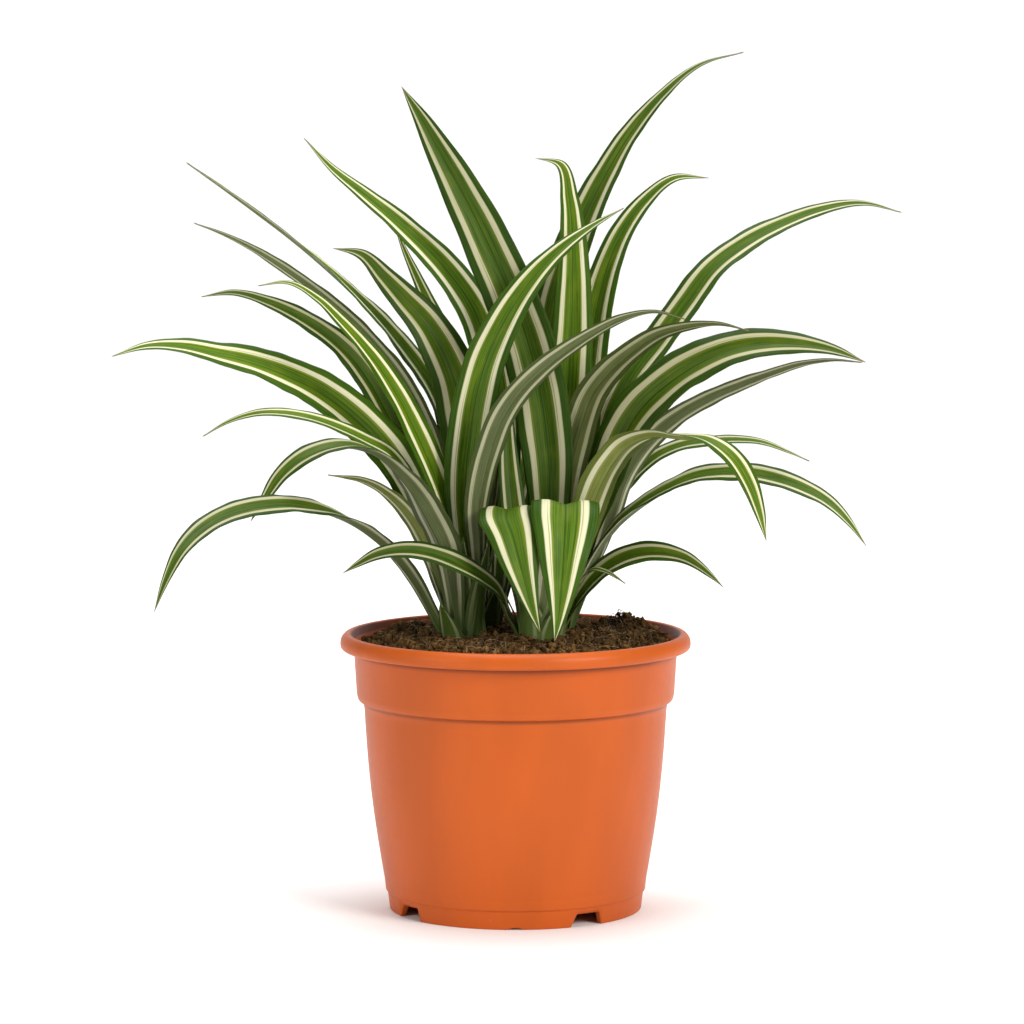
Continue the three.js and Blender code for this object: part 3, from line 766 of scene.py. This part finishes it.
def bumps(x, y, random, count, smallest, largest, reach):
    """The highest of many half-sunk balls at each place, as a height above the mound."""
    height = np.zeros(x.size)
    flat_x, flat_y = x.ravel(), y.ravel()
    sizes = smallest * (largest / smallest) ** (random.random(count) ** 2.2)
    turn = random.uniform(0, 2 * math.pi, count)
    out = reach * np.sqrt(random.random(count))
    centre_x, centre_y = out * np.cos(turn), out * np.sin(turn)
    sink = random.uniform(0.2, 0.75, count)
    batches = 24  # of balls, so that the arrays stay small
    for part in np.array_split(np.arange(count), batches):
        away = ((flat_x[:, None] - centre_x[part]) ** 2 + (flat_y[:, None] - centre_y[part]) ** 2)
        ball = np.sqrt(np.clip(sizes[part] ** 2 - away, 0, None)) - sizes[part] * sink[part]
        height = np.maximum(height, ball.max(1))
    return height.reshape(x.shape)


def lattice_noise(x, y, cell, random):
    """Smooth noise from -1 to 1: random values on a square lattice, with a smooth step between
    the four round each place."""
    reach = 0.065  # of the lattice, either side of the middle
    count = int(2 * reach / cell) + 3
    values = random.uniform(-1, 1, (count, count))
    across, along = (x + reach) / cell, (y + reach) / cell
    column, row = np.floor(across).astype(int), np.floor(along).astype(int)
    a, b = across - column, along - row
    a, b = a * a * (3 - 2 * a), b * b * (3 - 2 * b)
    near = values[column, row] * (1 - a) + values[column + 1, row] * a
    far = values[column, row + 1] * (1 - a) + values[column + 1, row + 1] * a
    return near * (1 - b) + far * b


def soil_surface(settings):
    """Rings from the middle out over the crumbly top, down the wall and in under the root ball.

    Height(radius, angle) = mound + the highest of many small half-sunk balls + five sizes of
    lattice noise, folded so that its valleys are sharp, fading to the mound's edge at the wall.
    """
    random = np.random.default_rng(11)
    wall = 58.1 * MM
    out = np.concatenate([np.linspace(0.6, 57.2, 128) * MM, [57.8 * MM]])
    angles = -np.linspace(0, 2 * math.pi, 600, endpoint=False)
    x, y = out[:, None] * np.cos(angles), out[:, None] * np.sin(angles)
    fade = 1 - smooth_step(0.965, 1.0, out / wall)[:, None]
    rough = 0.45 * bumps(x, y, random, 900, 0.6 * MM, 2.0 * MM, wall)
    for cell, size in ((9, 0.9), (4.2, 0.85), (2.1, 0.8), (1.05, 0.55), (0.6, 0.35)):
        rough += size * MM * np.abs(lattice_noise(x, y, cell * MM, random))
    level = soil_level(x, y) + (rough / (1.9 * MM) - 0.35) * settings.relief * fade
    level = np.minimum(level, SOIL_HIGH.z + 3 * MM)
    top = np.stack([x, y, level], axis=-1)
    sides = np.array([
        [57.6, 97], [57.0, 80], [54.3, 76], [46.6, 9], [44.5, ROOT_BALL_BOTTOM]]) * MM
    around = np.stack([np.cos(angles), np.sin(angles)], axis=-1)
    down = np.concatenate([
        sides[:, :1, None] * around[None],
        np.broadcast_to(sides[:, 1:, None], (len(sides), len(angles), 1))], axis=-1)
    middle = (0, 0, float(level[0].mean()))
    rings = np.concatenate([top, down])[:, ::-1]
    return loft(rings, middle, (0, 0, ROOT_BALL_BOTTOM * MM))


def crumb_cloud(random, x, y, size, lift):
    """Rough little balls: a sphere of rings, whose radius is 1 plus four cosines that run in
    random directions, stretched unevenly along each axis."""
    rows, around = 3, 6
    lean = np.linspace(0, math.pi, rows + 2)[1:-1]
    turn = -np.linspace(0, 2 * math.pi, around, endpoint=False)
    ball = np.stack([
        np.sin(lean)[:, None] * np.cos(turn),
        np.sin(lean)[:, None] * np.sin(turn),
        np.broadcast_to(np.cos(lean)[:, None], (rows, around))], axis=-1)
    points, quads, triangles = loft(ball, (0, 0, 1), (0, 0, -1))
    count = len(x)
    push = random.normal(0, 1.0, (count, 4, 3)) * 1.3
    phase = random.uniform(0, 2 * math.pi, (count, 4))
    rough = np.cos(np.einsum("pk,cwk->cpw", points, push) * 2.6 + phase[:, None]).sum(-1) * 0.17
    stretch = random.uniform(0.5, 1.35, (count, 1, 3))
    shape = points[None] * (1 + rough[..., None]) * stretch * size[:, None, None]
    shape += np.stack([x, y, soil_level(x, y) + lift], axis=-1)[:, None]
    quads, triangles = repeat(len(points), quads, triangles, count)
    return shape.reshape(-1, 3), quads, triangles


def soil_material(settings, name, lighter):
    """Damp peat: dark and redder patches by crumb, painted light that makes it lighter and
    browner towards the front, pale specks and a coarse bump.
    """
    shader = Shader(name, Specular_IOR_Level=0.08)
    position = shader.objects()
    patches = shader.noise(position, 90, 4.0, 0.6)
    crumbs = shader.noise(position, 620, 4.0, 0.7)
    specks = shader.noise(position, 1500, 2.0, 0.5)
    # painted light: the soil drawn lighter and browner towards the front
    front = shader.step(shader.parts(position)[1], 25 * MM, -45 * MM)
    red = shader.step(patches, 0.40, 0.60) * 0.55 + front * 0.45
    red = red * shader.step(crumbs, 0.40, 0.62)
    base = shader.blend(red + lighter, colour(settings.dark), colour(settings.brown))
    base = shader.blend(shader.step(specks, 0.66, 0.78) * 0.5, base, colour(settings.fibre))
    shader.feed("Base Color", base)
    shader.feed("Roughness", 0.75 + crumbs * 0.25)
    shader.bump(crumbs + specks * 0.5, 0.5 * MM, 0.9)
    return shader.material


class PLANT_OT_soil(bpy.types.Operator):
    """Makes the crumbly root ball that fills the pot"""

    bl_idname = "plant.soil"
    bl_label = "Soil"

    def execute(self, context):
        settings = context.scene.dracaena_soil
        points, quads, triangles = soil_surface(settings)
        piece = mesh_object("soil_surface", points, quads, triangles)
        place(piece, "soil", soil_material(settings, "damp_peat", 0.0), "soil")
        return {"FINISHED"}


class PLANT_OT_crumbs(bpy.types.Operator):
    """Scatters loose crumbs over the soil"""

    bl_idname = "plant.crumbs"
    bl_label = "Soil crumbs"

    def execute(self, context):
        settings = context.scene.dracaena_soil
        random = np.random.default_rng(23)
        count = settings.crumbs
        turn = random.uniform(0, 2 * math.pi, count)
        out = 56.5 * MM * np.sqrt(random.random(count))
        size = (0.22 + 1.5 * random.random(count) ** 8) * MM
        x, y = out * np.cos(turn), out * np.sin(turn)
        points, quads, triangles = crumb_cloud(random, x, y, size, 1.1 * MM + size * 0.35)
        piece = mesh_object("soil_crumbs", points, quads, triangles)
        place(piece, "soil", soil_material(settings, "loose_peat", 0.20))
        return {"FINISHED"}


def fibre_cloud(random, count):
    """Thin closed tubes laid along lines on the soil.

    With t from -1/2 to 1/2 along each fibre, its heading turns evenly with t, it arches up as
    1 - (2t) squared, and its radius falls to 0.4 of the full radius at both ends. Fibres that
    would pass the wall are pulled in to it.
    """
    steps, around = 9, 5
    turn = random.uniform(0, 2 * math.pi, count)
    out = 50 * MM * np.sqrt(random.random(count))
    heading = random.uniform(0, 2 * math.pi, count)
    length = random.uniform(2, 9, count) * MM
    t = np.linspace(-0.5, 0.5, steps)
    bend = random.normal(0, 1.4, (count, 1))
    course = heading[:, None] + bend * t
    step = length[:, None] / (steps - 1)
    x = (out * np.cos(turn))[:, None] + np.cumsum(np.cos(course) * step, axis=1)
    y = (out * np.sin(turn))[:, None] + np.cumsum(np.sin(course) * step, axis=1)
    inside = np.minimum(1, 55 * MM / np.maximum(np.hypot(x, y), 1e-6))
    x, y = x * inside, y * inside
    arch = random.uniform(0.2, 2.2, (count, 1)) * MM * (1 - (2 * t) ** 2)
    middle = np.stack([x, y, soil_level(x, y) + 1.3 * MM + arch], axis=-1)
    ahead = unit(np.gradient(middle, axis=1))
    side = unit(np.cross(ahead, (0, 0, 1)))
    above = np.cross(side, ahead)
    radius = random.uniform(0.05, 0.14, (count, 1)) * MM * (1 - 0.6 * np.abs(2 * t))
    ring = -np.linspace(0, 2 * math.pi, around, endpoint=False)
    tubes = middle[:, :, None] + radius[..., None, None] * (
        np.cos(ring)[:, None] * side[:, :, None] + np.sin(ring)[:, None] * above[:, :, None])
    quads, triangles = loft(tubes[0], middle[0, 0], middle[0, -1])[1:]
    points = np.concatenate([
        tubes.reshape(count, -1, 3), middle[:, :1], middle[:, -1:]], axis=1)
    quads, triangles = repeat(points.shape[1], quads, triangles, count)
    return points.reshape(-1, 3), quads, triangles


def fibre_material(settings):
    """Dry fibre, mottled in two browns."""
    shader = Shader("dry_fibre", Roughness=0.8)
    shade = shader.step(shader.noise(shader.objects(), 300, 2.0), 0.35, 0.65)
    shader.feed("Base Color", shader.blend(
        shade, colour(settings.fibre), (0.06, 0.035, 0.02, 1)))
    return shader.material


class PLANT_OT_fibres(bpy.types.Operator):
    """Lays fine root and bark fibres on the soil"""

    bl_idname = "plant.fibres"
    bl_label = "Soil fibres"

    def execute(self, context):
        settings = context.scene.dracaena_soil
        shape = fibre_cloud(np.random.default_rng(31), settings.fibres)
        place(mesh_object("soil_fibres", *shape), "soil", fibre_material(settings))
        return {"FINISHED"}


# ---- Crowns -----------------------------------------------------------------------------------

SHEATHS = 8  # clasping scales round each crown
SHEATH_LAYERS = 3
SHEATH_ROWS = 14
SHEATH_COLUMNS = 12  # across one face
SHEATH_FOOT = 96 * MM  # where the scales start, below the soil's surface
SHEATH_SHARE = 0.13  # how much of a blade's pattern a scale shows, from the blade's foot


def sheath(middle, turn, layer, random):
    """One pointed scale that faces the angle turn, as a closed sheet, with its attributes.

    Point(u, v) lies at the angle that the scale faces plus u times its width over its radius,
    at a radius that grows with the layer, flares outwards as v squared and has a ridge at
    u = 0 that fades with v. It rises evenly with v and dips slightly at the margins. Its width
    falls from full to nothing as 1 minus v to the power 2.4.
    """
    share = np.linspace(0, 1, SHEATH_ROWS + 1)[:-1][:, None]
    over, face = (part[::-1] for part in two_faces(np.linspace(-1, 1, SHEATH_COLUMNS + 1)))
    height = random.uniform(16, 46) * MM
    width = random.uniform(5.0, 7.0) * MM * (1 - share ** 2.4)
    radius = (5.2 + layer * 1.1 + (5.5 + 2.5 * random.random()) * share ** 2) * MM
    angle = turn + over * width / np.maximum(radius, 5.5 * MM)
    fold = 0.9 * MM * (1 - np.abs(over)) * (1 - share)
    out = radius + fold - face * 0.3 * MM * np.sqrt(1 - over ** 4)
    z = SHEATH_FOOT + share * height - 1.5 * MM * over ** 2 * share
    rings = np.stack([middle.x + out * np.cos(angle), middle.y + out * np.sin(angle), z], -1)
    tip_radius = radius[-1, 0] + 0.3 * MM
    tip = (middle.x + tip_radius * math.cos(turn), middle.y + tip_radius * math.sin(turn),
           SHEATH_FOOT + height)
    attributes = leaf_attributes(
        over, share * height, share * SHEATH_SHARE, (face + 1) / 2, (height, SHEATH_SHARE), 0,
        random.uniform(0.2, 1.0, 2))
    return (*loft(rings, rings[0].mean(0), tip), attributes)


def sheath_cloud(middle, random):
    """The pointed scales that clasp the foot of one plant, joined in one mesh."""
    shapes = []
    for n in range(SHEATHS):
        turn = 2 * math.pi * n / SHEATHS + random.uniform(-0.25, 0.25)
        shapes.append(sheath(middle, turn, n % SHEATH_LAYERS, random))
    points, quads, triangles, attributes = zip(*shapes)
    first = np.arange(SHEATHS) * len(points[0])
    return (
        np.concatenate(points),
        np.concatenate([faces + shift for faces, shift in zip(quads, first)]),
        np.concatenate([faces + shift for faces, shift in zip(triangles, first)]),
        {key: np.concatenate([part[key] for part in attributes]) for key in attributes[0]},
    )


class PLANT_OT_crowns(bpy.types.Operator):
    """Wraps the foot of each plant in pointed, clasping scales"""

    bl_idname = "plant.crowns"
    bl_label = "Crown sheaths"

    def execute(self, context):
        material = leaf_material(context.scene.dracaena_leaf)
        material.name = "striped_sheath"
        random = np.random.default_rng(5)
        for name in CROWNS:
            low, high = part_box(name)
            shape = sheath_cloud((low + high) / 2, random)
            piece = mesh_object(name.replace("crown", "sheaths"), *shape)
            place(piece, "root_stock", material, name)
        return {"FINISHED"}


# ---- Stage ------------------------------------------------------------------------------------

VIEW_X = -1.3 * MM  # the camera stands this far to the side of the plant's axis
PAPER_HALF_WIDTH = 5.0


def floor_surface():
    """A sheet that runs level from the front, then turns up behind the plant: a quarter circle
    of radius 1.2 m between two straight runs, carried across from side to side."""
    turn = np.linspace(0, math.pi / 2, 24)
    bend = 1.2
    curve = np.stack([2.2 + bend * np.sin(turn), bend - bend * np.cos(turn)], axis=-1)
    section = np.concatenate([[[-3.0, 0]], curve, [[3.4, 4.5]]])[:, None]
    across = np.array([-PAPER_HALF_WIDTH, PAPER_HALF_WIDTH])
    sheet = np.stack(np.broadcast_arrays(across, section[..., 0], section[..., 1]), axis=-1)
    here = np.arange(len(section) * 2).reshape(-1, 2)
    quads = np.stack([here[:-1, 0], here[:-1, 1], here[1:, 1], here[1:, 0]], axis=-1)
    return sheet.reshape(-1, 3), quads


def paper_material():
    """Pale matt paper with a barely visible, slow change of tone."""
    shader = Shader("studio_paper", Roughness=0.9)
    tone = shader.noise(shader.objects(), 3, 2.0)
    shader.feed("Base Color", shader.blend(
        tone, (0.93, 0.93, 0.93, 1), (0.96, 0.96, 0.96, 1)))
    return shader.material


def aim_at(target, piece):
    """Turns a lamp or camera to face a point."""
    away = Vector(target) - piece.location
    piece.rotation_euler = away.to_track_quat("-Z", "Y").to_euler()


def soft_light(context, name, position, size, energy, tint=(1, 1, 1), aim=(0, 0, 0.15)):
    """A square area light that faces the middle of the plant, or another point."""
    data = bpy.data.lights.new(name, "AREA")
    data.size = size
    data.energy = energy
    data.color = tint
    light = bpy.data.objects.new(name, data)
    light.location = position
    aim_at(aim, light)
    context.scene.collection.objects.link(light)


class PLANT_OT_stage(bpy.types.Operator):
    """Sets up the pale floor that sweeps up behind the plant, the soft lights and the camera"""

    bl_idname = "plant.stage"
    bl_label = "Stage"

    def execute(self, context):
        scene = context.scene
        floor = mesh_object("studio_floor", *floor_surface())
        floor.data.materials.append(paper_material())

        soft_light(context, "key", (1.3, -1.3, 1.1), 0.8, 31, (1.0, 0.98, 0.94))
        soft_light(context, "fill", (-1.5, -1.2, 0.8), 1.2, 14, (1.0, 0.99, 0.96))
        soft_light(context, "overhead", (0.0, 0.1, 1.7), 1.2, 21)
        soft_light(context, "backdrop", (0.0, 1.0, 2.4), 2.5, 55, aim=(0, 3.3, 0.7))
        world = bpy.data.worlds.new("studio_air")
        world.use_nodes = True
        air = world.node_tree.nodes["Background"].inputs
        air["Color"].default_value = (1, 1, 1, 1)
        air["Strength"].default_value = 0.22
        scene.world = world
        scene.view_settings.view_transform = "Standard"

        lens = bpy.data.cameras.new("camera")
        lens.lens = 157.7
        lens.sensor_width = 36
        camera = bpy.data.objects.new("camera", lens)
        camera.location = (VIEW_X, -1.650, 0.313)
        aim_at((VIEW_X, 0, 0.1477), camera)
        scene.collection.objects.link(camera)
        scene.camera = camera
        return {"FINISHED"}


# ---- Add-on -----------------------------------------------------------------------------------

SETTINGS = {
    "dracaena_leaf": LeafSettings,
    "dracaena_pot": PotSettings,
    "dracaena_soil": SoilSettings,
}
OPERATORS = (
    PLANT_OT_stage,
    PLANT_OT_pot,
    PLANT_OT_soil,
    PLANT_OT_crumbs,
    PLANT_OT_fibres,
    PLANT_OT_crowns,
    PLANT_OT_leaves,
)


class PLANT_PT_panel(bpy.types.Panel):
    """Lists the plant's settings and pieces"""

    bl_label = "Potted Dracaena"
    bl_idname = "PLANT_PT_panel"
    bl_space_type = "VIEW_3D"
    bl_region_type = "UI"
    bl_category = "Dracaena"

    def draw(self, context):
        for name, group in SETTINGS.items():
            box = self.layout.box()
            for key in group.__annotations__:
                box.prop(getattr(context.scene, name), key)
        for operator in OPERATORS:
            self.layout.operator(operator.bl_idname)


CLASSES = (*SETTINGS.values(), *OPERATORS, PLANT_PT_panel)


def register():
    for cls in CLASSES:
        bpy.utils.register_class(cls)
    for name, group in SETTINGS.items():
        setattr(bpy.types.Scene, name, bpy.props.PointerProperty(type=group))


def unregister():
    for name in SETTINGS:
        delattr(bpy.types.Scene, name)
    for cls in reversed(CLASSES):
        bpy.utils.unregister_class(cls)


def main():
    register()
    bpy.ops.plant.stage()
    bpy.ops.plant.pot()
    bpy.ops.plant.soil()
    bpy.ops.plant.crumbs()
    bpy.ops.plant.fibres()
    bpy.ops.plant.crowns()
    bpy.ops.plant.leaves()


if __name__ == "__main__":
    main()
